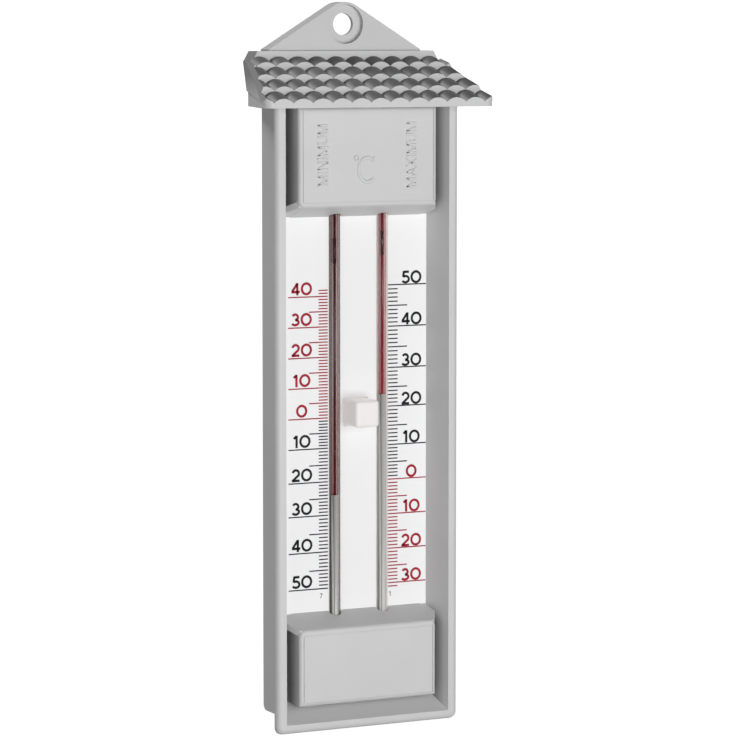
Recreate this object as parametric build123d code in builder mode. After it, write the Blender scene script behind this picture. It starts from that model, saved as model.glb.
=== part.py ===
from build123d import *
import os
from math import cos, sin, radians, tan

os.makedirs("parts", exist_ok=True)

# Wall-hung maximum-minimum (Six's) thermometer.  Millimetres, +Z up, front faces -Y.
# Origin: hanging-hole axis, on the rear face of the thin wall that the hole goes through.
# Heights are counted from the frame's bottom edge, depths forwards from the wall.

hole_height = 224.9
wall_y = 3.1

# Hanging gable and rear housing
hole_radius = 3.5
recess_radius = 6.3
apex_radius = 7.1
gable_depth = 6.4
gable_base = 216.7
gable_half = 26.8
gable_angle = 31.3
skin = 1.5
housing_half = 25.5
housing_depth = 11.1
housing_bottom = 11.0
flange_half = 30.4
flange_front = 12.7

# Front frame
rim_depth = 23.1
rim_half = 32.3
rim_back = 21.1
rim_round = 1.8
opening_half = 28.86
opening_bottom = 3.0
floor_half = 25.4
floor_bottom = 9.0
frame_top = 203.0
tray_bottom = 6.8
wall = 1.5

# Scale plate
plate_depth = 13.7
plate_back = 11.75
plate_half = 26.2
plate_low = 8.5
plate_high = 200.8

# Roof
tile_pitch = 6.7
tile_offset = -0.45
row_pitch = 6.8
row_drop = 3.7
row_count = 4
eave_depth = 33.0
eave_notch = 200.4
eave_bottom = 198.9
tile_rise = 1.45
tile_rear_rise = 1.35
roof_back = 0.3
roof_back_half = 31.4
roof_front_half = 41.3
ridge_top = 216.4
ridge_depth = 7.3
hip_rear = (33.4, 7.1, 214.5)
hip_front = (40.2, 33.0, 200.6)
hip_rise = 2.0
ridge_corner = (31.2, 33.0, 213.2)
eave_round = 3.0

# Covers
cover_half = 24.3
cover_face = 23.2
cover_wall = 1.4
cover_round = 1.2
corner_round = 2.2
shoulder_depth = 18.0
shoulder_half = 26.6
shoulder_root = 25.1
groove_half = 22.95
groove_width = 0.35
groove_cut = 0.25
upper_face_low = 167.6
upper_base_low = 163.9
lower_face_high = 32.9
lower_base_high = 37.2

# Glass U-tube
tube_x = 0.7
leg_half = 8.47
left_leg = tube_x - leg_half
right_leg = tube_x + leg_half
legs = (left_leg, right_leg)
tube_depth = 14.4
tube_radius = 1.8
tube_gap = 0.06
notch_radius = 2.05
bore_radius = 0.9
liquid_radius = 0.88
bend_height = 22.0
leg_top = 174.0
min_meniscus = 74.7
max_meniscus = 106.5
bulb_low = 176.0
min_bulb_radius = 4.2
min_bulb_high = 193.0
max_bulb_radius = 3.6
max_bulb_high = 189.0
bulb_wall = 0.8

# Indices
index_radius = 0.62
index_clearance = 0.08
min_index_low = 149.2
max_index_low = 151.4
index_length = 7.9
index_stop = 166.0

# Reset button and magnets
button_half = 4.15
button_low = 96.8
button_high = 105.5
button_depth = 22.7
button_gap = 0.2
carrier_back = 7.4
carrier_front = 9.0
magnet_front = 11.3


def up(height):
    return height - hole_height


def front_plane(depth):
    return Plane.XZ.offset(depth - wall_y)


def block(half, low, high, back, front, mode=Mode.ADD, x=0.0):
    """Box centred on x, between two heights and two depths."""
    size_y = front - back
    centre = (x, wall_y - (front + back) / 2, up((low + high) / 2))
    with Locations(centre):
        Box(2 * half, size_y, high - low, mode=mode)


def post(x, height, radius, back, front, mode=Mode.ADD):
    """Cylinder running front to back."""
    centre = (x, wall_y - (front + back) / 2, up(height))
    with Locations(Location(centre, (90, 0, 0))):
        Cylinder(radius, front - back, mode=mode)


def stem(x, depth, radius, low, high, mode=Mode.ADD):
    """Cylinder running upwards."""
    with Locations((x, wall_y - depth, up((low + high) / 2))):
        Cylinder(radius, high - low, mode=mode)


def upright(depth, half, low, high):
    """Rectangle standing in a front plane."""
    with BuildSketch(front_plane(depth)) as sketch:
        with Locations((0, up((low + high) / 2))):
            Rectangle(2 * half, high - low)
    return sketch.sketch.face()


def taper(back, front, back_half, back_low, back_high, front_half, front_low, front_high,
          mode=Mode.ADD):
    """Straight-sided loft between two rectangles at different depths."""
    rear_end = upright(back, back_half, back_low, back_high)
    front_end = upright(front, front_half, front_low, front_high)
    loft([rear_end, front_end], ruled=True, mode=mode)


# ---------------------------------------------------------------- rear housing with gable
def gable_outline(inset):
    """Gable profile: straight neck, two slopes and a round apex about the hole."""
    r = apex_radius - inset
    a = radians(gable_angle)
    touch = (r * sin(a), r * cos(a))
    half = gable_half - inset
    shoulder = touch[1] - (half - touch[0]) * tan(a)
    low = up(202.0) + inset
    with BuildSketch(front_plane(0)) as outline:
        with BuildLine():
            Polyline((-half, shoulder), (-half, low), (half, low), (half, shoulder))
            Line((half, shoulder), touch)
            ThreePointArc(touch, (0, r), (-touch[0], touch[1]))
            Line((-touch[0], touch[1]), (-half, shoulder))
        make_face()
    return outline.sketch


screw_spots = [(-28.6, 24.0), (28.6, 24.0), (-28.6, 186.0), (28.6, 186.0)]
screw_tip = 16.8
roof_screw_spots = [(-18.0, 206.8), (18.0, 206.8)]
roof_screw_tip = 12.0
spring_heights = [82.0, 120.0]

with BuildPart() as rear_housing:
    block(housing_half, housing_bottom, 203.0, 0, housing_depth)
    fillet(rear_housing.edges().filter_by(Axis.X).group_by(Axis.Z)[0].group_by(Axis.Y)[-1], 3.0)
    block(flange_half, housing_bottom - 2.0, 201.2, housing_depth, flange_front)
    extrude(gable_outline(0), amount=gable_depth)
    block(plate_half + 0.2, plate_low - 0.2, plate_high + 0.4, plate_back, flange_front + 1,
          mode=Mode.SUBTRACT)
    block(housing_half - 1.6, housing_bottom + 2.6, 199.4, 1.6, flange_front + 1, mode=Mode.SUBTRACT)
    extrude(gable_outline(skin), amount=gable_depth - skin, mode=Mode.SUBTRACT)
    post(0, hole_height, apex_radius, wall_y, gable_depth)
    post(0, hole_height, recess_radius, wall_y + skin, gable_depth + 1, mode=Mode.SUBTRACT)
    post(0, hole_height, hole_radius, 0, gable_depth, mode=Mode.SUBTRACT)
    block(0.6, 203.0, 219.0, 0.6, gable_depth - 0.5, x=-11.5)
    block(0.6, 203.0, 219.0, 0.6, gable_depth - 0.5, x=11.5)
    for height in spring_heights:
        post(0, height, 2.1, 1.5, 3.4)
    for x in (-13.2, 13.2):
        block(0.7, 64.0, 74.0, 1.5, 9.6, x=x)
        block(0.7, 132.0, 142.0, 1.5, 9.6, x=x)
    for x, height in screw_spots:
        post(x, height, 1.25, housing_depth - 1, flange_front + 1, mode=Mode.SUBTRACT)
    for x, height in roof_screw_spots:
        post(x, height, 1.25, 3.0, gable_depth + 1, mode=Mode.SUBTRACT)

# ---------------------------------------------------------------- front frame
with BuildPart() as front_frame:
    with BuildSketch(front_plane(rim_back)) as rim_sketch:
        with Locations((0, up(frame_top / 2))):
            Rectangle(2 * rim_half, frame_top)
        fillet(rim_sketch.vertices().group_by(Axis.Z)[0], 2.4)
    extrude(amount=rim_depth - rim_back)
    fillet(front_frame.faces().sort_by(Axis.Y)[0].edges().filter_by(Axis.Z), rim_round)
    block(rim_half, tray_bottom, frame_top, flange_front, rim_back)
    fillet(front_frame.edges().filter_by(Axis.X).group_by(Axis.Y)[-1].group_by(Axis.Z)[0], 2.0)
    block(rim_half - wall, tray_bottom + wall, frame_top - wall, flange_front - 1, rim_back,
          mode=Mode.SUBTRACT)
    taper(plate_depth, rim_depth - 0.6, floor_half + wall, floor_bottom - wall, 201.0,
          opening_half + wall, opening_bottom - 0.9, 202.6)
    for x, height in screw_spots:
        post(x, height, 2.4, flange_front, rim_back)
    taper(plate_depth, rim_depth, floor_half, floor_bottom, 199.4,
          opening_half, opening_bottom, 200.6, mode=Mode.SUBTRACT)
    block(floor_half, floor_bottom, 199.4, flange_front, plate_depth + 0.01, mode=Mode.SUBTRACT)
    for x, height in screw_spots:
        post(x, height, 1.0, flange_front - 1, screw_tip + 0.4, mode=Mode.SUBTRACT)

# ---------------------------------------------------------------- U path
def u_path(left_high, right_high):
    """Centre line of the U: left leg down, half circle, right leg up."""
    y = wall_y - tube_depth
    with BuildLine() as path:
        Line((left_leg, y, up(left_high)), (left_leg, y, up(bend_height)))
        ThreePointArc((left_leg, y, up(bend_height)), (tube_x, y, up(bend_height - leg_half)),
                      (right_leg, y, up(bend_height)))
        Line((right_leg, y, up(bend_height)), (right_leg, y, up(right_high)))
    return path.wires()[0]


def swept(path, radius, mode=Mode.ADD):
    """Round bar along a path."""
    with BuildSketch(Plane(origin=path @ 0, z_dir=path % 0)) as section:
        Circle(radius)
    sweep(section.sketch, path=path, mode=mode)


# ---------------------------------------------------------------- scale plate
with BuildPart() as scale_plate:
    block(plate_half, plate_low, plate_high, plate_back, plate_depth)
    swept(u_path(175.0, 175.0), tube_radius + tube_gap, mode=Mode.SUBTRACT)
    block(13.4, 170.6, 198.0, plate_back - 1, plate_depth + 1, mode=Mode.SUBTRACT, x=tube_x)
    block(button_half + button_gap, button_low - button_gap, button_high + button_gap,
          plate_back - 1, plate_depth + 1, mode=Mode.SUBTRACT)
    for x in (-20.5, 20.5):
        for height in (16.0, 30.0, 176.0, 190.0):
            block(1.2, height - 2.4, height + 2.4, plate_back - 1, plate_depth + 1,
                  mode=Mode.SUBTRACT, x=x)

# ---------------------------------------------------------------- roof
ridge_row_back = eave_depth - row_count * row_pitch


def tile_face(depth, base, notch, rise, shift):
    """Vertical face with a scalloped top edge; shift moves the scallops sideways."""
    first = -7 * tile_pitch + shift + tile_offset
    count = 14
    with BuildSketch(front_plane(depth)) as face:
        with BuildLine():
            for n in range(count):
                left = first + n * tile_pitch
                ThreePointArc((left, up(notch)), (left + tile_pitch / 2, up(notch + rise)),
                              (left + tile_pitch, up(notch)))
            last = first + count * tile_pitch
            Polyline((last, up(notch)), (last, up(base)), (first, up(base)), (first, up(notch)))
        make_face()
    return face.sketch.face()


def plan_outline(height, extra_back, extra_front):
    """Roof outline seen from above: wider at the eave than at the wall, round front corners."""
    back = roof_back_half + extra_back
    front = roof_front_half + extra_front
    with BuildSketch(Plane.XY.offset(up(height))) as plan:
        with BuildLine():
            Polyline((-back, wall_y - roof_back), (back, wall_y - roof_back),
                     (front, wall_y - eave_depth), (-front, wall_y - eave_depth), close=True)
        make_face()
        fillet(plan.vertices().group_by(Axis.Y)[0], eave_round)
    return plan.sketch


def side_cut(points):
    """Prism right across the part, from a side-view outline of (depth, height) points."""
    with BuildSketch(Plane.YZ.offset(-50)) as profile:
        with BuildLine():
            Polyline([(wall_y - depth, up(height)) for depth, height in points], close=True)
        make_face()
    return profile.sketch


def hip_cut(side):
    """Slanted cut that trims the ends of the ridge and the tile rows on one side."""
    rear = Vector(side * hip_rear[0], wall_y - hip_rear[1], up(hip_rear[2]))
    front = Vector(side * hip_front[0], wall_y - hip_front[1], up(hip_front[2]))
    inwards = Vector(-side, 0, hip_rise)
    normal = inwards.cross(front - rear) * side
    slope = Plane(origin=rear, x_dir=front - rear, z_dir=normal)
    with Locations(slope):
        Box(200, 90, 40, align=(Align.CENTER, Align.CENTER, Align.MIN), mode=Mode.SUBTRACT)


with BuildPart() as tile_rows:
    for n in range(row_count):
        front_depth = eave_depth - n * row_pitch
        notch = eave_notch + n * row_drop
        shift = tile_pitch / 2 if n % 2 == 0 else 0.0
        rear_end = tile_face(front_depth - row_pitch, 195.0, notch + row_drop - tile_rear_rise,
                             tile_rear_rise, shift)
        front_end = tile_face(front_depth, 195.0, notch, tile_rise, shift)
        loft([rear_end, front_end], ruled=True)
    block(45.0, 195.0, ridge_top, roof_back, ridge_depth)

with BuildPart() as band_space:
    low_plan = plan_outline(198.0, -0.2, 0.0)
    high_plan = plan_outline(218.0, 2.4, 0.0)
    loft([low_plan.face(), high_plan.face()], ruled=True)
    below_band = side_cut([(-1, 203.9), (eave_depth + 1, 200.3), (eave_depth + 1, 190), (-1, 190)])
    extrude(below_band, amount=100, mode=Mode.SUBTRACT)
    for side in (-1, 1):
        hip_cut(side)
        inner, outer, low = ridge_corner
        with BuildSketch(front_plane(-1)):
            with BuildLine():
                Polyline((side * inner, up(ridge_top)), (side * outer, up(low)),
                         (side * 50.0, up(low)), (side * 50.0, up(220)),
                         (side * inner, up(220)), close=True)
            make_face()
        extrude(amount=ridge_depth + 1, mode=Mode.SUBTRACT)

with BuildPart() as roof_hollow:
    under_roof = side_cut([(31.2, 190), (31.2, 199.0), (8.4, 211.2), (6.4, 214.6), (2.0, 214.6),
                           (2.0, 190)])
    extrude(under_roof, amount=100)
    extrude(plan_outline(189.0, -1.7, -1.9), amount=30.0, mode=Mode.INTERSECT)

with BuildPart() as roof:
    extrude(plan_outline(eave_bottom, 0.0, -0.15), amount=24.0)
    above_wall = side_cut([(-1, 204.4), (eave_depth + 1, 200.8), (eave_depth + 1, 230), (-1, 230)])
    extrude(above_wall, amount=100, mode=Mode.SUBTRACT)
    add(band_space.part)
    add(tile_rows.part, mode=Mode.INTERSECT)
    add(roof_hollow.part, mode=Mode.SUBTRACT)
    block(gable_half + 0.35, 190.0, 218.0, roof_back - 1, gable_depth + 0.45, mode=Mode.SUBTRACT)
    for x, height in roof_screw_spots:
        post(x, height, 2.4, gable_depth + 0.02, roof_screw_tip + 2.0)
        post(x, height, 1.0, gable_depth - 1, roof_screw_tip + 0.4, mode=Mode.SUBTRACT)
    for x in (-30.0, 30.0):
        block(0.7, frame_top + 0.02, 206.0, 12.8, 20.0, x=x)

# ---------------------------------------------------------------- covers
def border_line(low, high):
    """Shallow groove following the two sides and the bottom of a cover face."""
    half = groove_width / 2
    back = cover_face - groove_cut
    for side in (-1, 1):
        block(half, low - half, high, back, cover_face + 1, mode=Mode.SUBTRACT,
              x=side * groove_half)
    block(groove_half, low - half, low + half, back, cover_face + 1, mode=Mode.SUBTRACT)


def shoulder(face_height, base_height):
    """Sill that carries the slope of a cover out to the walls of its recess."""
    inward = 1 if face_height > base_height else -1
    rise = (base_height - face_height) / (cover_face - plate_depth)
    outline = []
    for depth, offset in ((22.6, 0.15), (13.8, 0.15), (13.8, 2.2), (22.6, 2.2)):
        outline.append((depth, face_height + rise * (cover_face - depth) + inward * offset))
    plan_points = [(cover_half - 0.3, 22.4), (shoulder_half, shoulder_depth), (shoulder_root, 13.8),
                   (-shoulder_root, 13.8), (-shoulder_half, shoulder_depth),
                   (0.3 - cover_half, 22.4)]
    with BuildPart() as sill:
        extrude(side_cut(outline), amount=100)
        with BuildSketch(Plane.XY.offset(up(face_height - 20))) as plan:
            with BuildLine():
                Polyline([(x, wall_y - depth) for x, depth in plan_points], close=True)
            make_face()
        extrude(plan.sketch, amount=40, mode=Mode.INTERSECT)
    return sill.part


with BuildPart() as upper_cover:
    taper(plate_depth, cover_face, cover_half + 0.5, upper_base_low, 198.9,
          cover_half, upper_face_low, 198.9)
    slanted = upper_cover.edges().filter_by(lambda edge: abs((edge % 0).Y) > 0.5)
    fillet(slanted.sort_by(Axis.Z)[:2], corner_round)
    fillet(upper_cover.faces().sort_by(Axis.Y)[0].edges(), cover_round)
    add(shoulder(upper_face_low, upper_base_low))
    border_line(upper_face_low + 1.4, 198.2)
    taper(plate_depth - 0.01, cover_face - cover_wall, cover_half + 0.5 - cover_wall,
          upper_base_low + 1.6, 197.5, cover_half - cover_wall, upper_face_low + 1.2, 197.5,
          mode=Mode.SUBTRACT)
    for x in legs:
        stem(x, tube_depth, notch_radius, 160.0, 172.0, mode=Mode.SUBTRACT)
        block(notch_radius, 160.0, 170.0, plate_depth - 1, tube_depth, mode=Mode.SUBTRACT, x=x)
    for x in (-20.5, 20.5):
        for height in (176.0, 190.0):
            block(0.8, height - 2.0, height + 2.0, 10.6, 22.4, x=x)
            block(1.3, height - 2.0, height + 2.0, 10.6, 11.6, x=x * 1.02)

with BuildPart() as lower_cover:
    taper(plate_depth, cover_face, cover_half + 0.5, 9.3, lower_base_high,
          cover_half, 8.35, lower_face_high)
    slanted = lower_cover.edges().filter_by(lambda edge: abs((edge % 0).Y) > 0.5)
    fillet(slanted.sort_by(Axis.Z)[-2:], corner_round)
    fillet(lower_cover.faces().sort_by(Axis.Y)[0].edges(), cover_round)
    add(shoulder(lower_face_high, lower_base_high))
    border_line(9.75, lower_face_high - 1.3)
    block(groove_half, lower_face_high - 1.3 - groove_width, lower_face_high - 1.3,
          cover_face - groove_cut, cover_face + 1, mode=Mode.SUBTRACT)
    taper(plate_depth - 0.01, cover_face - cover_wall, cover_half + 0.5 - cover_wall,
          10.7, lower_base_high - 1.6, cover_half - cover_wall, 9.75, lower_face_high - 1.2,
          mode=Mode.SUBTRACT)
    for x in legs:
        stem(x, tube_depth, notch_radius, 29.0, 40.0, mode=Mode.SUBTRACT)
        block(notch_radius, 30.0, 40.0, plate_depth - 1, tube_depth, mode=Mode.SUBTRACT, x=x)
    for x in (-20.5, 20.5):
        for height in (16.0, 30.0):
            block(0.8, height - 2.0, height + 2.0, 10.6, 22.4, x=x)
            block(1.3, height - 2.0, height + 2.0, 10.6, 11.6, x=x * 1.02)


# ---------------------------------------------------------------- glass tube and liquids
def bulb(x, radius, low, high, mode=Mode.ADD):
    """Cylinder with round ends, its lower end reaching down to the leg."""
    stem(x, tube_depth, radius, low, high, mode=mode)
    for height in (low, high):
        with Locations((x, wall_y - tube_depth, up(height))):
            Sphere(radius, mode=mode)


with BuildPart() as u_tube:
    swept(u_path(leg_top, leg_top), tube_radius)
    bulb(left_leg, min_bulb_radius, bulb_low, min_bulb_high)
    bulb(right_leg, max_bulb_radius, bulb_low, max_bulb_high)
    swept(u_path(bulb_low, bulb_low), bore_radius, mode=Mode.SUBTRACT)
    bulb(left_leg, min_bulb_radius - bulb_wall, bulb_low, min_bulb_high, mode=Mode.SUBTRACT)
    bulb(right_leg, max_bulb_radius - bulb_wall, bulb_low, max_bulb_high, mode=Mode.SUBTRACT)

with BuildPart() as indicator_thread:
    swept(u_path(min_meniscus, max_meniscus), liquid_radius)

index_space = index_radius + index_clearance

with BuildPart() as red_liquid_min:
    stem(left_leg, tube_depth, liquid_radius, min_meniscus + 0.02, bulb_low)
    stem(left_leg, tube_depth, index_space, min_meniscus - 1, index_stop, mode=Mode.SUBTRACT)
    bulb(left_leg, min_bulb_radius - bulb_wall - 0.02, bulb_low, min_bulb_high)

with BuildPart() as red_liquid_max:
    stem(right_leg, tube_depth, liquid_radius, max_meniscus + 0.02, bulb_low)
    stem(right_leg, tube_depth, index_space, max_meniscus - 1, index_stop, mode=Mode.SUBTRACT)
    bulb(right_leg, max_bulb_radius - bulb_wall - 0.02, bulb_low, bulb_low + 8.0)


# ---------------------------------------------------------------- indices
def index_sheath(x, low):
    stem(x, tube_depth, index_radius, low, low + index_length)
    stem(x, tube_depth, index_radius - 0.2, low + 0.6, low + index_length - 0.6,
         mode=Mode.SUBTRACT)


with BuildPart() as min_index_sheath:
    index_sheath(left_leg, min_index_low)

with BuildPart() as min_index_core:
    stem(left_leg, tube_depth, index_radius - 0.21, min_index_low + 0.61,
         min_index_low + index_length - 0.61)

with BuildPart() as max_index_sheath:
    index_sheath(right_leg, max_index_low)

with BuildPart() as max_index_core:
    stem(right_leg, tube_depth, index_radius - 0.21, max_index_low + 0.61,
         max_index_low + index_length - 0.61)

# ---------------------------------------------------------------- reset button and magnets
button_mid = (button_low + button_high) / 2

with BuildPart() as reset_button:
    block(button_half, button_low, button_high, 11.0, button_depth)
    fillet(reset_button.edges().filter_by(Axis.Y), 1.2)
    fillet(reset_button.faces().sort_by(Axis.Y)[0].edges(), 1.0)
    block(button_half + 1.6, button_low - 1.6, button_high + 1.6, carrier_front, 11.4)
    block(button_half - 1.2, button_low + 1.2, button_high - 1.2, carrier_front - 1,
          button_depth - 1.4, mode=Mode.SUBTRACT)

with BuildPart() as magnet_carrier:
    block(11.2, 62.0, 72.0, carrier_back, carrier_front, x=tube_x)
    block(11.2, 134.0, 144.0, carrier_back, carrier_front, x=tube_x)
    block(5.6, 62.0, 144.0, carrier_back, carrier_front)
    for x in legs:
        block(2.6, 44.0, 160.0, carrier_back, carrier_front, x=x)
    block(button_half - 1.4, button_low + 1.4, button_high - 1.4, carrier_front, 13.0)
    for height in spring_heights:
        post(0, height, 2.1, carrier_back - 0.9, carrier_back)
    block(0.6, 76.0, 95.0, carrier_front, carrier_front + 1.2)
    block(0.6, 108.0, 130.0, carrier_front, carrier_front + 1.2)

with BuildPart() as magnet_left:
    block(1.7, 46.0, 158.0, carrier_front, magnet_front, x=left_leg)
    fillet(magnet_left.edges().filter_by(Axis.Z), 0.3)

with BuildPart() as magnet_right:
    block(1.7, 46.0, 158.0, carrier_front, magnet_front, x=right_leg)
    fillet(magnet_right.edges().filter_by(Axis.Z), 0.3)


# ---------------------------------------------------------------- return springs
def coil_spring(height):
    """Round-wire compression spring between the housing floor and the carrier."""
    wire = 0.28
    free = carrier_back - 1.6 - 2 * wire
    start = (0, wall_y - 1.6 - wire, up(height))
    coil = Helix(pitch=free / 4.0, height=free, radius=2.9, center=start, direction=(0, -1, 0))
    with BuildSketch(Plane(origin=coil @ 0, z_dir=coil % 0)) as section:
        Circle(wire)
    sweep(section.sketch, path=coil, is_frenet=True)


with BuildPart() as spring_lower:
    coil_spring(spring_heights[0])

with BuildPart() as spring_upper:
    coil_spring(spring_heights[1])

# ---------------------------------------------------------------- tube supports
with BuildPart() as bend_saddle:
    block(13.5, 11.0, 27.0, plate_depth + 0.02, tube_depth + 2.4, x=tube_x)
    swept(u_path(40.0, 40.0), tube_radius + 0.02, mode=Mode.SUBTRACT)
    block(4.5, 20.0, 30.0, plate_depth - 1, tube_depth + 4, mode=Mode.SUBTRACT, x=tube_x)

with BuildPart() as leg_saddle:
    block(13.2, 168.2, 170.4, plate_depth + 0.02, tube_depth + 2.6, x=tube_x)
    for x in legs:
        stem(x, tube_depth, tube_radius + 0.02, 160.0, 175.0, mode=Mode.SUBTRACT)

with BuildPart() as bulb_cushion:
    block(13.0, 178.0, 192.0, tube_depth + 0.6, cover_face - cover_wall - 0.02, x=tube_x)
    stem(left_leg, tube_depth, min_bulb_radius + 0.02, 170.0, 200.0, mode=Mode.SUBTRACT)
    stem(right_leg, tube_depth, max_bulb_radius + 0.02, 170.0, 200.0, mode=Mode.SUBTRACT)

# ---------------------------------------------------------------- screws
def screw(x, height, head_back, head_front, tip):
    """Pan-head screw driven from behind, cross recess in the head."""
    post(x, height, 1.9, head_back, head_front)
    post(x, height, 0.97, head_front, tip)
    block(0.9, height - 0.2, height + 0.2, head_back - 1, head_back + 0.7,
          mode=Mode.SUBTRACT, x=x)
    block(0.2, height - 0.9, height + 0.9, head_back - 1, head_back + 0.7,
          mode=Mode.SUBTRACT, x=x)


with BuildPart() as case_screws:
    for x, height in screw_spots:
        screw(x, height, housing_depth - 1.4, housing_depth, screw_tip)

with BuildPart() as roof_screws:
    for x, height in roof_screw_spots:
        screw(x, height, gable_depth - skin - 1.4, gable_depth - skin, roof_screw_tip)

# ---------------------------------------------------------------- export
rear_housing.part.label = "rear_housing"
front_frame.part.label = "front_frame"
scale_plate.part.label = "scale_plate"
roof.part.label = "roof"
upper_cover.part.label = "upper_cover"
lower_cover.part.label = "lower_cover"
u_tube.part.label = "u_tube"
indicator_thread.part.label = "indicator_thread"
red_liquid_min.part.label = "red_liquid_min"
red_liquid_max.part.label = "red_liquid_max"
min_index_sheath.part.label = "min_index_sheath"
min_index_core.part.label = "min_index_core"
max_index_sheath.part.label = "max_index_sheath"
max_index_core.part.label = "max_index_core"
reset_button.part.label = "reset_button"
magnet_carrier.part.label = "magnet_carrier"
magnet_left.part.label = "magnet_left"
magnet_right.part.label = "magnet_right"
spring_lower.part.label = "spring_lower"
spring_upper.part.label = "spring_upper"
bend_saddle.part.label = "bend_saddle"
leg_saddle.part.label = "leg_saddle"
bulb_cushion.part.label = "bulb_cushion"
case_screws.part.label = "case_screws"
roof_screws.part.label = "roof_screws"

pieces = [
    rear_housing, front_frame, scale_plate, roof, upper_cover, lower_cover, u_tube,
    indicator_thread, red_liquid_min, red_liquid_max, min_index_sheath, min_index_core,
    max_index_sheath, max_index_core, reset_button, magnet_carrier, magnet_left,
    magnet_right, spring_lower, spring_upper, bend_saddle, leg_saddle, bulb_cushion,
    case_screws, roof_screws,
]
for piece in pieces:
    export_step(piece.part, f"parts/{piece.part.label}.step")
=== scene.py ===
from math import cos, hypot, pi, radians, sin
import bmesh
import bpy
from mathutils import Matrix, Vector


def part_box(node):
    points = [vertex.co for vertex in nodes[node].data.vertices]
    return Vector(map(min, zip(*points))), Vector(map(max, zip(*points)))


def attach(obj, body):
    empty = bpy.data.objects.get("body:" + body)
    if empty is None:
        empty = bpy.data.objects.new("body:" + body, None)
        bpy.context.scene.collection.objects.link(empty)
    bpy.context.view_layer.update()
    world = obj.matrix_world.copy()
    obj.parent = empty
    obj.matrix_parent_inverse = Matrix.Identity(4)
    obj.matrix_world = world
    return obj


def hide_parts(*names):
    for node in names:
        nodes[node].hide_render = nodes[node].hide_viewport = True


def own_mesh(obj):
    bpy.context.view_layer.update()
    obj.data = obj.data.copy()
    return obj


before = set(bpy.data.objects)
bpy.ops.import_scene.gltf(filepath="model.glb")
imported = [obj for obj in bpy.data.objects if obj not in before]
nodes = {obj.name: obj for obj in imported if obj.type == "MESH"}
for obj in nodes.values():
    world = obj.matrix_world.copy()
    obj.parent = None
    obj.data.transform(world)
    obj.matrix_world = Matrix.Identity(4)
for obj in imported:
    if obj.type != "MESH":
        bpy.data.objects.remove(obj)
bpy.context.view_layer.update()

MM = 0.001
scene = bpy.context.scene

# ---------------------------------------------------------------- places read from the frame
tube_low, tube_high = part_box("u_tube")
thread_low, thread_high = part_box("indicator_thread")
min_low, min_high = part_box("min_index_sheath")
max_low, max_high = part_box("max_index_sheath")
min_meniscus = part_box("red_liquid_min")[0][2]
max_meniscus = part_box("red_liquid_max")[0][2]

PLATE_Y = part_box("scale_plate")[0][1]
BASE_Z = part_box("front_frame")[0][2]
LEFT_X = (min_low[0] + min_high[0]) / 2
RIGHT_X = (max_low[0] + max_high[0]) / 2
MID_X = (LEFT_X + RIGHT_X) / 2
LEG_HALF = (RIGHT_X - LEFT_X) / 2
AXIS_Y = (max_low[1] + max_high[1]) / 2
BEND_Z = thread_low[2] + (thread_high[0] - RIGHT_X) + LEG_HALF


def front_y(depth):
    """Y of a place so many millimetres in front of the wall the case hangs on."""
    return (3.1 - depth) * MM


def up(height):
    """Height above the frame's bottom edge, in mm, as a place in the row frame."""
    return BASE_Z + height * MM


# ---------------------------------------------------------------- material helpers
SHADER = "Principled BSDF"


def new_material(name):
    """A material with its node tree and its shader."""
    material = bpy.data.materials.new(name)
    material.use_nodes = True
    tree = material.node_tree
    return material, tree, tree.nodes[SHADER]


def noise(tree, scale, detail=2.0, rough=0.5, stretch=None):
    """Procedural noise in object coordinates, which can be stretched along an axis."""
    coords = tree.nodes.new("ShaderNodeTexCoord")
    texture = tree.nodes.new("ShaderNodeTexNoise")
    texture.inputs["Scale"].default_value = scale
    texture.inputs["Detail"].default_value = detail
    texture.inputs["Roughness"].default_value = rough
    if stretch:
        mapping = tree.nodes.new("ShaderNodeMapping")
        mapping.inputs["Scale"].default_value = stretch
        tree.links.new(coords.outputs["Object"], mapping.inputs["Vector"])
        tree.links.new(mapping.outputs["Vector"], texture.inputs["Vector"])
    else:
        tree.links.new(coords.outputs["Object"], texture.inputs["Vector"])
    return texture


def ramp(tree, source, stops):
    """Colour ramp through the (place, colour) stops."""
    node = tree.nodes.new("ShaderNodeValToRGB")
    elements = node.color_ramp.elements
    while len(elements) < len(stops):
        elements.new(0.5)
    for element, (place, colour) in zip(elements, stops):
        element.position = place
        element.color = (*colour, 1.0)
    tree.links.new(source, node.inputs["Fac"])
    return node


def vary(tree, source, low, high):
    """Spread a 0 to 1 source over the range low to high."""
    node = tree.nodes.new("ShaderNodeMapRange")
    node.inputs["To Min"].default_value = low
    node.inputs["To Max"].default_value = high
    tree.links.new(source, node.inputs["Value"])
    return node


def bump(tree, shader, source, distance):
    node = tree.nodes.new("ShaderNodeBump")
    node.inputs["Distance"].default_value = distance
    node.inputs["Strength"].default_value = 1.0
    tree.links.new(source, node.inputs["Height"])
    tree.links.new(node.outputs["Normal"], shader.inputs["Normal"])


def moulded(name, colour, spread=0.02, low=0.38, high=0.5, grain=1400.0, depth=0.000008):
    """Moulded plastic: faint flow mottling, uneven gloss and a fine spark-eroded grain."""
    material, tree, shader = new_material(name)
    flow = noise(tree, 45.0, 3.0)
    dark = tuple(c * (1 - spread) for c in colour)
    light = tuple(min(1.0, c * (1 + spread)) for c in colour)
    tint = ramp(tree, flow.outputs["Fac"], [(0.3, dark), (0.7, light)])
    tree.links.new(tint.outputs["Color"], shader.inputs["Base Color"])
    gloss = noise(tree, 160.0, 2.0)
    patch = vary(tree, gloss.outputs["Fac"], low, high)
    tree.links.new(patch.outputs["Result"], shader.inputs["Roughness"])
    fine = noise(tree, grain, 3.0, 0.6)
    bump(tree, shader, fine.outputs["Fac"], depth)
    return material


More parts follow.
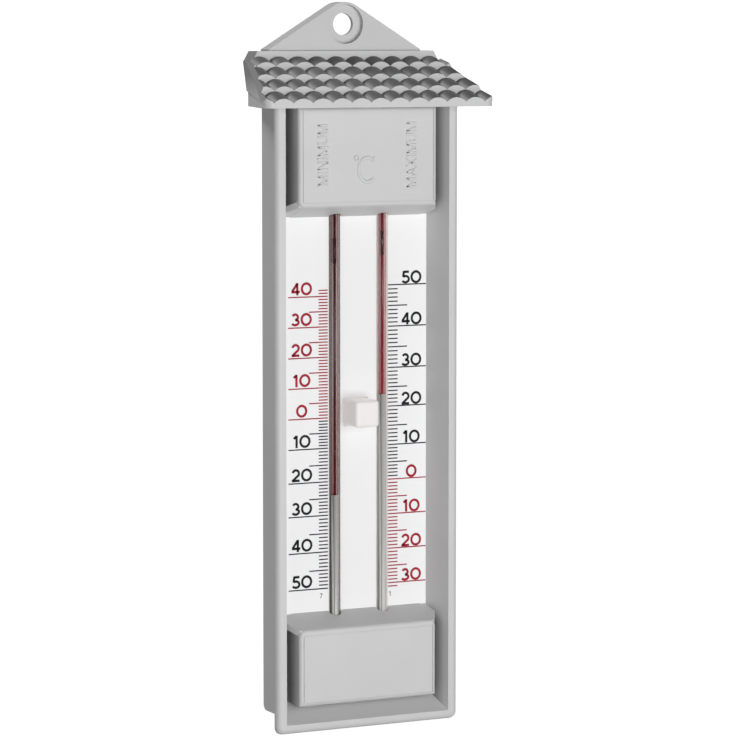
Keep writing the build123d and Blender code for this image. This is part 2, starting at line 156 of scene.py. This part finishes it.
def metal(name, colour, rough=0.3):
    """Metal with faint marks drawn out along Z."""
    material, tree, shader = new_material(name)
    shader.inputs["Metallic"].default_value = 1.0
    brushed = noise(tree, 500.0, 3.0, 0.6, (1.0, 1.0, 30.0))
    dark = tuple(c * 0.85 for c in colour)
    tint = ramp(tree, brushed.outputs["Fac"], [(0.3, dark), (0.7, colour)])
    tree.links.new(tint.outputs["Color"], shader.inputs["Base Color"])
    patch = vary(tree, brushed.outputs["Fac"], rough * 0.8, rough * 1.3)
    tree.links.new(patch.outputs["Result"], shader.inputs["Roughness"])
    return material


def printed(name, colour):
    """Screen-printed ink: slightly uneven cover."""
    material, tree, shader = new_material(name)
    cover = noise(tree, 900.0, 2.0)
    light = tuple(min(1.0, c * 1.25 + 0.01) for c in colour)
    tint = ramp(tree, cover.outputs["Fac"], [(0.35, colour), (0.8, light)])
    tree.links.new(tint.outputs["Color"], shader.inputs["Base Color"])
    shader.inputs["Roughness"].default_value = 0.45
    shader.inputs["Specular IOR Level"].default_value = 0.12
    return material


def clear(name, tint, cover, rough, specular=0.5):
    """See-through film: what lies behind shows through it, with the gloss on top."""
    material, tree, shader = new_material(name)
    cloud = noise(tree, 300.0, 2.0)
    dark = tuple(c * 0.94 for c in tint)
    colour = ramp(tree, cloud.outputs["Fac"], [(0.3, dark), (0.7, tint)])
    tree.links.new(colour.outputs["Color"], shader.inputs["Base Color"])
    shader.inputs["Roughness"].default_value = rough
    shader.inputs["Alpha"].default_value = cover
    shader.inputs["Specular IOR Level"].default_value = specular
    return material


def coordinate(tree, kind, axis):
    """One axis of a texture coordinate: Object is a place in metres, Normal a facing."""
    coords = tree.nodes.new("ShaderNodeTexCoord")
    split = tree.nodes.new("ShaderNodeSeparateXYZ")
    tree.links.new(coords.outputs[kind], split.inputs["Vector"])
    return split.outputs[axis]


def mask(tree, source, start, end):
    """Rises from 0 to 1 while the source goes from start to end."""
    node = vary(tree, source, 0.0, 1.0)
    node.inputs["From Min"].default_value = start
    node.inputs["From Max"].default_value = end
    return node.outputs["Result"]


def maths(tree, operation, *sources):
    """One arithmetic node over its sources."""
    node = tree.nodes.new("ShaderNodeMath")
    node.operation = operation
    for number, source in enumerate(sources):
        tree.links.new(source, node.inputs[number])
    return node.outputs["Value"]


def blend_to(material, amount, colour):
    """Take the base colour towards another one by the amount of a mask."""
    tree = material.node_tree
    shader = tree.nodes[SHADER]
    blend = tree.nodes.new("ShaderNodeMix")
    blend.data_type = "RGBA"
    blend.inputs[7].default_value = (*colour, 1.0)
    tree.links.new(amount, blend.inputs[0])
    tree.links.new(shader.inputs["Base Color"].links[0].from_socket, blend.inputs[6])
    tree.links.new(blend.outputs[2], shader.inputs["Base Color"])


def edge_cover(material, middle, edge):
    """See-through where a round surface faces the eye, denser towards its outline."""
    tree = material.node_tree
    rim_light = tree.nodes.new("ShaderNodeLayerWeight")
    rim_light.inputs["Blend"].default_value = 0.5
    cover = vary(tree, rim_light.outputs["Facing"], middle, edge)
    cover.inputs["From Min"].default_value = 0.12
    cover.inputs["From Max"].default_value = 0.55
    tree.links.new(cover.outputs["Result"], tree.nodes[SHADER].inputs["Alpha"])


# ---------------------------------------------------------------- materials
# The darkening of the tile tops, the roof's end faces and the slots beside the covers is
# painted by facing and place. It isn't cast by the lights.
GREY = (0.572, 0.572, 0.576)
TILE_TOP_SHADE = (0.11, 0.11, 0.112)
ROOF_END_SHADE = (0.26, 0.26, 0.262)
COVER_SLOT_SHADE = 0.30
FRAME_SLOT_SHADE = 0.10
SLOT_HALF_WIDTH = 0.03
SLOT_FADE = 0.0005

mat_housing = moulded("housing_plastic", GREY)
mat_frame = moulded("frame_plastic", GREY)
mat_roof = moulded("roof_plastic", GREY, 0.03)
tree = mat_roof.node_tree
blend_to(mat_roof, mask(tree, coordinate(tree, "Normal", "Z"), 0.2, 0.65), TILE_TOP_SHADE)
outward = maths(tree, "ABSOLUTE", coordinate(tree, "Normal", "X"))
end_face = maths(tree, "MULTIPLY", mask(tree, outward, 0.8, 0.95),
                 mask(tree, coordinate(tree, "Object", "Z"), up(202.5), up(209.0)))
blend_to(mat_roof, end_face, ROOF_END_SHADE)
mat_cover = moulded("cover_plastic", GREY)
for material, shade in ((mat_cover, COVER_SLOT_SHADE), (mat_frame, FRAME_SLOT_SHADE)):
    tree = material.node_tree
    outward = maths(tree, "ABSOLUTE", coordinate(tree, "Normal", "X"))
    side_wall = mask(tree, outward, 0.55, 0.9)
    deep = mask(tree, coordinate(tree, "Object", "Y"), front_y(21.5), front_y(16.0))
    height = coordinate(tree, "Object", "Z")
    beside_cover = maths(tree, "MAXIMUM", mask(tree, height, up(38.0), up(31.0)),
                         mask(tree, height, up(164.0), up(171.0)))
    within = mask(tree, maths(tree, "ABSOLUTE", coordinate(tree, "Object", "X")),
                  SLOT_HALF_WIDTH + SLOT_FADE, SLOT_HALF_WIDTH - SLOT_FADE)
    slot = maths(tree, "MULTIPLY", maths(tree, "MULTIPLY", side_wall, deep),
                 maths(tree, "MULTIPLY", beside_cover, within))
    blend_to(material, slot, (shade, shade, shade * 1.02))
mat_plate = moulded("scale_white", (0.835, 0.835, 0.84), 0.008, 0.4, 0.5, 2500.0, 0.000003)
mat_carrier = moulded("carrier_plastic", (0.80, 0.80, 0.79))
mat_magnet = moulded("magnet_rubber", (0.05, 0.048, 0.045), 0.15, 0.6, 0.75)
mat_rubber = moulded("soft_rubber", (0.06, 0.06, 0.062), 0.1, 0.55, 0.7)
mat_foam = moulded("foam", (0.24, 0.24, 0.25), 0.2, 0.85, 0.95, 700.0, 0.0001)
mat_steel = metal("steel", (0.6, 0.6, 0.62))
mat_spring = metal("spring_steel", (0.55, 0.55, 0.57), 0.35)
mat_black_ink = printed("ink_black", (0.012, 0.011, 0.013))
mat_red_ink = printed("ink_red", (0.32, 0.009, 0.024))
mat_index = moulded("index_black", (0.012, 0.01, 0.012), 0.1, 0.2, 0.3)
mat_core_min = moulded("red_core_deep", (0.03, 0.0004, 0.001), 0.1, 0.25, 0.35)
mat_core_max = moulded("red_core", (0.14, 0.002, 0.009), 0.1, 0.25, 0.35)
mat_red_min = clear("red_liquid_deep", (0.48, 0.02, 0.035), 0.2, 0.2)
edge_cover(mat_red_min, 0.04, 0.38)
mat_red_max = clear("red_liquid", (0.82, 0.11, 0.13), 0.14, 0.2)
edge_cover(mat_red_max, 0.05, 0.4)
mat_glass = clear("clear_glass", (0.36, 0.33, 0.30), 0.1, 0.04, 0.35)
edge_cover(mat_glass, 0.01, 0.8)
# The glass is darker on its left leg and paler on its right leg: painted shade on the left leg
# and painted light on the right.
tree = mat_glass.node_tree
across = mask(tree, coordinate(tree, "Object", "X"), -0.004, 0.004)
painted_leg_shading = ramp(tree, across, [(0.2, (0.15, 0.115, 0.095)), (0.8, (0.72, 0.64, 0.60))])
tree.links.new(painted_leg_shading.outputs["Color"], tree.nodes[SHADER].inputs["Base Color"])
mat_thread = moulded("grey_liquid", (0.50, 0.51, 0.505), 0.1, 0.16, 0.24, 900.0, 0.000002)
# The bands on the liquid are painted reflections and a painted highlight of the round glass; they
# follow its facing.
tree = mat_thread.node_tree
round_glass = mask(tree, coordinate(tree, "Normal", "X"), -1.0, 1.0)
painted_reflections = ramp(tree, round_glass, [(0.02, (0.20, 0.20, 0.205)), (0.08, (0.72, 0.73, 0.73)),
                                 (0.14, (0.74, 0.75, 0.75)), (0.20, (0.22, 0.22, 0.225)),
                                 (0.30, (0.40, 0.405, 0.40)), (0.5, (0.52, 0.53, 0.525)),
                                 (0.8, (0.48, 0.49, 0.485))])
tree.links.new(painted_reflections.outputs["Color"], tree.nodes[SHADER].inputs["Base Color"])

mat_button, tree, shader = new_material("button_white")
cloud = noise(tree, 120.0, 2.0)
milk = ramp(tree, cloud.outputs["Fac"], [(0.3, (0.41, 0.415, 0.41)), (0.7, (0.43, 0.435, 0.43))])
tree.links.new(milk.outputs["Color"], shader.inputs["Base Color"])
# The emission is painted light: the milky button glows a faint warm white, though it is no lamp.
shader.inputs["Emission Color"].default_value = (1.0, 0.93, 0.905, 1.0)
shader.inputs["Emission Strength"].default_value = 0.37
patch = vary(tree, cloud.outputs["Fac"], 0.28, 0.36)
tree.links.new(patch.outputs["Result"], shader.inputs["Roughness"])

cad_materials = {
    "rear_housing": mat_housing, "front_frame": mat_frame, "roof": mat_roof,
    "upper_cover": mat_cover, "lower_cover": mat_cover, "scale_plate": mat_plate,
    "reset_button": mat_button, "magnet_carrier": mat_carrier, "magnet_left": mat_magnet,
    "magnet_right": mat_magnet, "spring_lower": mat_spring, "spring_upper": mat_spring,
    "bend_saddle": mat_rubber, "leg_saddle": mat_rubber, "bulb_cushion": mat_foam,
    "case_screws": mat_steel, "roof_screws": mat_steel, "min_index_core": mat_steel,
    "max_index_core": mat_steel,
}
for name, material in cad_materials.items():
    mesh = nodes[name].data
    mesh.materials.clear()
    mesh.materials.append(material)


# ---------------------------------------------------------------- mesh helpers
def piece(name, mesh_bm, material, body, smooth=True):
    """A named object from the mesh, riding on its body."""
    mesh = bpy.data.meshes.new(name)
    bmesh.ops.recalc_face_normals(mesh_bm, faces=mesh_bm.faces[:])
    mesh_bm.to_mesh(mesh)
    mesh_bm.free()
    for polygon in mesh.polygons:
        polygon.use_smooth = smooth
    obj = bpy.data.objects.new(name, mesh)
    scene.collection.objects.link(obj)
    mesh.materials.append(material)
    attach(obj, body)
    return obj


def sweep_rings(path, radii, sides=40):
    """Closed tube through the points, one radius per point; the rings stay square to the path."""
    bm = bmesh.new()
    rings = []
    count = len(path)
    across = Vector((0, 1, 0))
    for n, (point, radius) in enumerate(zip(path, radii)):
        before = path[max(0, n - 1)]
        after = path[min(count - 1, n + 1)]
        along = (after - before).normalized()
        side = along.cross(across).normalized()
        ring = []
        for k in range(sides):
            a = 2 * pi * k / sides
            ring.append(bm.verts.new(point + side * radius * cos(a) + across * radius * sin(a)))
        rings.append(ring)
    for a, b in zip(rings, rings[1:]):
        for k in range(sides):
            j = (k + 1) % sides
            bm.faces.new((a[k], a[j], b[j], b[k]))
    bm.faces.new(rings[0][::-1])
    bm.faces.new(rings[-1])
    return bm


def u_points(left_top, right_top, bend_steps=40):
    """Centre line of the tube: down the left leg, round the bend, up the right leg."""
    points = [Vector((LEFT_X, AXIS_Y, left_top))]
    for n in range(bend_steps + 1):
        a = pi * n / bend_steps
        points.append(Vector((MID_X - LEG_HALF * cos(a), AXIS_Y, BEND_Z - LEG_HALF * sin(a))))
    points.append(Vector((RIGHT_X, AXIS_Y, right_top)))
    return points


def domed(bottom, top, radius, x, low_dome=1.0, high_dome=1.0):
    """Points and radii of an upright rod. A dome of 0 leaves that end flat, with several rings at
    one place. Otherwise the end turns inwards as a shallow cone, which isn't a rounded end.
    """
    steps = 8
    points = []
    radii = []
    for n in range(steps + 1):
        a = pi / 2 * n / steps
        points.append(Vector((x, AXIS_Y, bottom + radius * low_dome * (1 - cos(pi / 2 - a)))))
        radii.append(max(radius * sin(a), radius * 0.02) if low_dome else radius)
    for n in range(steps + 1):
        a = pi / 2 * (1 - n / steps)
        points.append(Vector((x, AXIS_Y, top - radius * high_dome * (1 - cos(pi / 2 - a)))))
        radii.append(max(radius * sin(a), radius * 0.02) if high_dome else radius)
    return points, radii


# ---------------------------------------------------------------- glass tube
TUBE_R = 1.8 * MM
SEEN_BORE_R = 1.2 * MM
INDEX_R = 0.55 * MM
CORE_R_MIN = 0.43 * MM
CORE_R_MAX = 0.5 * MM
LIQUID_TOP = up(175.0)
LEG_TOP = up(168.0)
MAX_BULB_TOP = up(192.6)
BULB_STEPS = 9

bulb_low = up(176.0)
min_bulb_r = LEFT_X - tube_low[0]
max_bulb_r = tube_high[0] - RIGHT_X


def leg_with_bulb(x, radius, top):
    """Points and radii from the leg's neck up over the bulb's rounded top."""
    points = []
    radii = []
    for n in range(BULB_STEPS + 1):
        a = pi / 2 * n / BULB_STEPS
        points.append(Vector((x, AXIS_Y, bulb_low - radius * cos(a))))
        radii.append(max(TUBE_R, radius * sin(a)))
    for n in range(BULB_STEPS + 1):
        a = pi / 2 * n / BULB_STEPS
        points.append(Vector((x, AXIS_Y, top - radius + radius * sin(a))))
        radii.append(max(0.05 * MM, radius * cos(a)))
    return points, radii


left_points, left_radii = leg_with_bulb(LEFT_X, min_bulb_r, tube_high[2])
right_points, right_radii = leg_with_bulb(RIGHT_X, max_bulb_r, MAX_BULB_TOP)
bend = u_points(LEG_TOP, LEG_TOP)
tube_path = left_points[::-1] + bend + right_points
tube_radii = left_radii[::-1] + [TUBE_R] * len(bend) + right_radii
tube = piece("glass_tube", sweep_rings(tube_path, tube_radii, 56), mat_glass, "case")
tube.visible_shadow = False
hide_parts("u_tube")

thread = u_points(min_meniscus, max_meniscus)
thread_piece = piece("indicator_liquid",
                     sweep_rings(thread, [SEEN_BORE_R] * len(thread), 40), mat_thread, "case")
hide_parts("indicator_thread")

# Each index is drawn round the fixed core, so the two overlap at rest and in every pose.
for side, x, meniscus, body_node, core_r, mat_core, mat_red in (
    ("min", LEFT_X, min_meniscus, "red_liquid_min", CORE_R_MIN, mat_core_min, mat_red_min),
    ("max", RIGHT_X, max_meniscus, "red_liquid_max", CORE_R_MAX, mat_core_max, mat_red_max),
):
    points, radii = domed(meniscus, LIQUID_TOP, SEEN_BORE_R, x, low_dome=0, high_dome=0)
    liquid = piece("red_film_" + side, sweep_rings(points, radii), mat_red, "case")
    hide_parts(body_node)
    points, radii = domed(meniscus - 0.4 * MM, LIQUID_TOP, core_r, x)
    piece("red_core_" + side, sweep_rings(points, radii), mat_core, "case")

for side, x, low, high in (("min", LEFT_X, min_low[2], min_high[2]),
                           ("max", RIGHT_X, max_low[2], max_high[2])):
    points, radii = domed(low, high, INDEX_R, x)
    marker = piece(side + "_index", sweep_rings(points, radii), mat_index, side + "_index")
    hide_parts(side + "_index_sheath")


# ---------------------------------------------------------------- strokes for figures
def arc(cx, cy, rx, ry, start, end, steps=14):
    """Points of an elliptical arc, angles in degrees."""
    points = []
    for n in range(steps + 1):
        a = radians(start + (end - start) * n / steps)
        points.append((cx + rx * cos(a), cy + ry * sin(a)))
    return points


GLYPHS = {
    "0": (0.95, [arc(0.475, 0.5, 0.395, 0.425, 90, 450, 40)]),
    "1": (0.5, [[(0.3, 0.0), (0.3, 1.0)], [(0.06, 0.74), (0.29, 0.95)]]),
    "2": (0.78, [arc(0.37, 0.66, 0.27, 0.265, 170, -38) + [(0.09, 0.08)],
                 [(0.02, 0.075), (0.7, 0.075)]]),
    "3": (0.76, [arc(0.33, 0.7, 0.24, 0.225, 155, -90), arc(0.33, 0.28, 0.3, 0.205, 90, -155)]),
    "4": (0.8, [[(0.54, 0.0), (0.54, 0.98)], [(0.54, 0.94), (0.08, 0.3)],
                [(0.02, 0.27), (0.76, 0.27)]]),
    "5": (0.76, [[(0.15, 0.925), (0.66, 0.925)], [(0.2, 0.97), (0.15, 0.5)],
                 arc(0.34, 0.33, 0.31, 0.255, 128, -150)]),
    "C": (0.8, [arc(0.42, 0.5, 0.38, 0.46, 50, 318, 32), [(0.7, 0.78), (0.74, 1.0)]]),
    "U": (0.84, [[(0.1, 1.0), (0.1, 0.38)], arc(0.4, 0.38, 0.3, 0.32, 180, 360, 18),
                 [(0.7, 0.38), (0.7, 1.0)]]),
    "M": (0.92, [[(0.08, 0.0), (0.08, 1.0)], [(0.08, 0.95), (0.43, 0.12)],
                 [(0.43, 0.12), (0.78, 0.95)], [(0.78, 0.0), (0.78, 1.0)]]),
    "I": (0.28, [[(0.11, 0.0), (0.11, 1.0)]]),
    "N": (0.82, [[(0.08, 0.0), (0.08, 1.0)], [(0.08, 0.95), (0.68, 0.05)],
                 [(0.68, 0.0), (0.68, 1.0)]]),
    "A": (0.78, [[(0.02, 0.0), (0.36, 0.97)], [(0.36, 0.97), (0.7, 0.0)],
                 [(0.15, 0.33), (0.57, 0.33)]]),
    "7": (0.7, [[(0.06, 0.92), (0.6, 0.92)], [(0.58, 0.92), (0.22, 0.0)]]),
    "X": (0.74, [[(0.03, 0.0), (0.65, 1.0)], [(0.65, 0.0), (0.03, 1.0)]]),
}
GAP = 0.06


def ribbon(bm, points, width, place, closed=False):
    """Flat band of even width along the points; place turns (x, z) into a point in space."""
    count = len(points)
    left = []
    right = []
    for n, (px, pz) in enumerate(points):
        ax, az = points[max(0, n - 1)]
        bx, bz = points[min(count - 1, n + 1)]
        if closed and n in (0, count - 1):
            ax, az = points[count - 2]
            bx, bz = points[1]
        length = hypot(bx - ax, bz - az)
        nx, nz = -(bz - az) / length * width / 2, (bx - ax) / length * width / 2
        left.append(bm.verts.new(place(px + nx, pz + nz)))
        right.append(bm.verts.new(place(px - nx, pz - nz)))
    for n in range(count - 1):
        bm.faces.new((left[n], left[n + 1], right[n + 1], right[n]))


def text_width(text, height):
    """Width of the figures as write() sets them."""
    return sum(GLYPHS[c][0] for c in text) * height + GAP * height * (len(text) - 1)


def write(bm, text, height, stroke, place):
    """Figures drawn from strokes, starting at the origin of place."""
    x = 0.0
    for character in text:
        advance, strokes = GLYPHS[character]
        for points in strokes:
            closed = hypot(points[0][0] - points[-1][0], points[0][1] - points[-1][1]) < 1e-6
            scaled = [(x + px * height, pz * height) for px, pz in points]
            ribbon(bm, scaled, stroke, place, closed)
        x += (advance + GAP) * height


def bar(bm, x0, x1, z, width, place):
    """Level line of the scale."""
    ribbon(bm, [(x0, z), (x1, z)], width, place)


# ---------------------------------------------------------------- printed scales
MIN_SCALE = ((-35, 133.7), (10, 89.8), (30, 68.15), (50, 44.5))
MAX_SCALE = ((-30, 44.7), (10, 89.8), (30, 114.8), (50, 141.5))


def height_at(scale, t):
    """Height of a degree mark, evenly spread between the scale's fixed points."""
    for (t0, h0), (t1, h1) in zip(scale, scale[1:]):
        if t <= t1:
            break
    return h0 + (h1 - h0) * (t - t0) / (t1 - t0)


INK_Y = PLATE_Y - 0.03 * MM


def on_plate(x, z):
    return Vector((x * MM, INK_Y, up(z)))


def figure_place(x0, z0):
    return lambda x, z: on_plate(x0 + x, z0 + z)


FIGURE = 4.0
STROKE = 0.8
LINE = 0.4
SMALL_FIGURE = 1.6
SMALL_STROKE = 0.22
ink = {"black": bmesh.new(), "red": bmesh.new()}

for side, scale, first, last, inner, steps, centre, lift in (
    (-1, MIN_SCALE, -42, 50, 9.9, (13.1, 16.5, 23.8), -19.1, 0.62),
    (1, MAX_SCALE, -31, 50, 11.6, (15.1, 18.5, 25.3), 20.05, 0.32),
):
    for t in range(first, last + 1):
        z = height_at(scale, t)
        red = t <= 0
        if t % 10 == 0:
            outer = steps[2]
        elif t % 5 == 0:
            outer = steps[1]
        else:
            outer = steps[0]
        bm = ink["red" if red else "black"]
        bar(bm, side * inner, side * outer, z, LINE, on_plate)
        if t % 10 == 0:
            text = str(abs(t))
            width = text_width(text, FIGURE)
            write(bm, text, FIGURE, STROKE, figure_place(centre - width / 2, z + lift))

write(ink["black"], "7", SMALL_FIGURE, SMALL_STROKE, figure_place(-12.9, 41.4))
write(ink["black"], "1", SMALL_FIGURE, SMALL_STROKE, figure_place(12.0, 40.3))

piece("scale_print_black", ink["black"], mat_black_ink, "case", smooth=False)
piece("scale_print_red", ink["red"], mat_red_ink, "case", smooth=False)

# ---------------------------------------------------------------- raised lettering
FACE_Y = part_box("upper_cover")[0][1]
LETTER_LIFT = 0.22 * MM
WORD_HEIGHT = 3.65
WORD_STROKE = 0.55


def raised(bm, points, width, place):
    """Bevelled bead standing on the cover face along the points."""
    count = len(points)
    rows = []
    for n, (px, pz) in enumerate(points):
        ax, az = points[max(0, n - 1)]
        bx, bz = points[min(count - 1, n + 1)]
        length = hypot(bx - ax, bz - az)
        nx = -(bz - az) / length
        nz = (bx - ax) / length
        row = []
        for shift, lift in ((0.7, 0.0), (0.42, 1.0), (-0.42, 1.0), (-0.7, 0.0)):
            spot = place(px + nx * width * shift, pz + nz * width * shift)
            spot.y -= lift * LETTER_LIFT
            row.append(bm.verts.new(spot))
        rows.append(row)
    for a, b in zip(rows, rows[1:]):
        for k in range(3):
            bm.faces.new((a[k], a[k + 1], b[k + 1], b[k]))
    bm.faces.new(rows[0])
    bm.faces.new(rows[-1][::-1])


def emboss(bm, text, height, stroke, place):
    """Raised letters drawn from strokes, starting at the origin of place."""
    x = 0.0
    for character in text:
        advance, strokes = GLYPHS[character]
        for points in strokes:
            raised(bm, [(x + px * height, pz * height) for px, pz in points], stroke, place)
        x += (advance + GAP) * height


def upward(x0, z0):
    """Text running up the face, letter tops to the left."""
    return lambda x, z: Vector(((x0 - z) * MM, FACE_Y, up(z0 + x)))


letters = bmesh.new()
emboss(letters, "MINIMUM", WORD_HEIGHT, WORD_STROKE, upward(-14.2, 174.2))
emboss(letters, "MAXIMUM", WORD_HEIGHT, WORD_STROKE, upward(17.0, 173.1))
emboss(letters, "C", 8.3, 0.9, lambda x, z: Vector(((x - 3.9) * MM, FACE_Y, up(174.85 + z))))
raised(letters, arc(-4.1, 182.7, 0.8, 0.8, 90, 450, 24), 0.45,
       lambda x, z: Vector((x * MM, FACE_Y, up(z))))
piece("cover_lettering", letters, mat_cover, "case", smooth=False)


# ---------------------------------------------------------------- return springs
WIRE = 0.28 * MM
COIL_R = 2.9 * MM
COIL_TURNS = 5
TURN_STEPS = 24
FLAT_STEPS = 18


def coil_points(low, high):
    """Helix about +Y between two places, with most of each end turn lying flat."""
    points = []
    steps = COIL_TURNS * TURN_STEPS
    for n in range(steps + 1):
        a = 2 * pi * n / TURN_STEPS
        share = min(1.0, max(0.0, (n - FLAT_STEPS) / (steps - 2 * FLAT_STEPS)))
        points.append(Vector((COIL_R * cos(a), low + (high - low) * share, COIL_R * sin(a))))
    return points


for node in ("spring_lower", "spring_upper"):
    low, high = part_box(node)
    z = (low[2] + high[2]) / 2
    points = [p + Vector((0, 0, z)) for p in coil_points(high[1] - WIRE, low[1] + WIRE)]
    coil = piece("coil_" + node[7:], sweep_rings(points, [WIRE] * len(points), 12), mat_spring,
                 "case")
    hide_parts(node)
    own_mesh(coil)

# ---------------------------------------------------------------- camera, lights and stage
camera_data = bpy.data.cameras.new("camera")
camera = bpy.data.objects.new("camera", camera_data)
scene.collection.objects.link(camera)
scene.camera = camera
camera_data.lens = 167.0
camera_data.sensor_width = 36.0
camera.location = (-478.2 * MM, -989.4 * MM, -1.8 * MM)
forward = Vector((0.4401, 0.8925, -0.0986))
camera.rotation_euler = forward.to_track_quat("-Z", "Y").to_euler()

scene.view_settings.view_transform = "Standard"
world = bpy.data.worlds.new("studio")
scene.world = world
world.use_nodes = True
background = world.node_tree.nodes["Background"]
sky_coords = world.node_tree.nodes.new("ShaderNodeTexCoord")
sky_split = world.node_tree.nodes.new("ShaderNodeSeparateXYZ")
world.node_tree.links.new(sky_coords.outputs["Generated"], sky_split.inputs["Vector"])
sky_height = vary(world.node_tree, sky_split.outputs["Z"], 0.0, 1.0)
sky_height.inputs["From Min"].default_value = -1.0
sky = ramp(world.node_tree, sky_height.outputs["Result"],
           [(0.0, (0.5, 0.5, 0.5)), (0.5, (0.5, 0.5, 0.5)), (0.7, (0.12, 0.12, 0.12)),
            (1.0, (0.03, 0.03, 0.03))])
world.node_tree.links.new(sky.outputs["Color"], background.inputs["Color"])
background.inputs["Strength"].default_value = 0.6


def area(name, place, target, size, power):
    """Round area light at a place, turned to the target and hidden from the camera."""
    data = bpy.data.lights.new(name, "AREA")
    data.shape = "DISK"
    data.size = size
    data.energy = power
    light = bpy.data.objects.new(name, data)
    scene.collection.objects.link(light)
    light.visible_camera = False
    light.location = place
    light.rotation_euler = (Vector(target) - Vector(place)).to_track_quat("-Z", "Y").to_euler()


middle = (0.0, 0.0, -0.1)
area("key", (0.04, -0.6, -0.135), (0.0, 0.0, -0.135), 0.5, 2.95)
area("fill", (-1.1, -0.9, -0.1), middle, 0.8, 1.5)
area("rim", (-0.5, 0.55, 1.15), (0.0, 0.0, 0.0), 0.6, 14.0)

# White floor that curves up into a backdrop.
CURVE_STEPS = 12
stage_bm = bmesh.new()
profile = [(-4.0, -0.9), (1.6, -0.9)]
for n in range(CURVE_STEPS + 1):
    a = pi / 2 * n / CURVE_STEPS
    profile.append((1.6 + 0.8 * sin(a), -0.1 - 0.8 * cos(a)))
profile.append((2.4, 3.5))
rows = []
for y, z in profile:
    rows.append([stage_bm.verts.new((x, y, z)) for x in (-5.0, 5.0)])
for a, b in zip(rows, rows[1:]):
    stage_bm.faces.new((a[0], a[1], b[1], b[0]))
stage_mesh = bpy.data.meshes.new("floor")
stage_bm.to_mesh(stage_mesh)
stage_bm.free()
for polygon in stage_mesh.polygons:
    polygon.use_smooth = True
floor = bpy.data.objects.new("floor", stage_mesh)
scene.collection.objects.link(floor)
mat_floor, tree, shader = new_material("floor_white")
wash = noise(tree, 0.6, 1.0)
pale = ramp(tree, wash.outputs["Fac"], [(0.3, (0.9, 0.9, 0.9)), (0.7, (0.92, 0.92, 0.92))])
tree.links.new(pale.outputs["Color"], shader.inputs["Base Color"])
shader.inputs["Roughness"].default_value = 0.9
shader.inputs["Emission Color"].default_value = (1.0, 1.0, 1.0, 1.0)
shader.inputs["Emission Strength"].default_value = 0.85
stage_mesh.materials.append(mat_floor)
floor.visible_diffuse = False
floor.visible_glossy = False
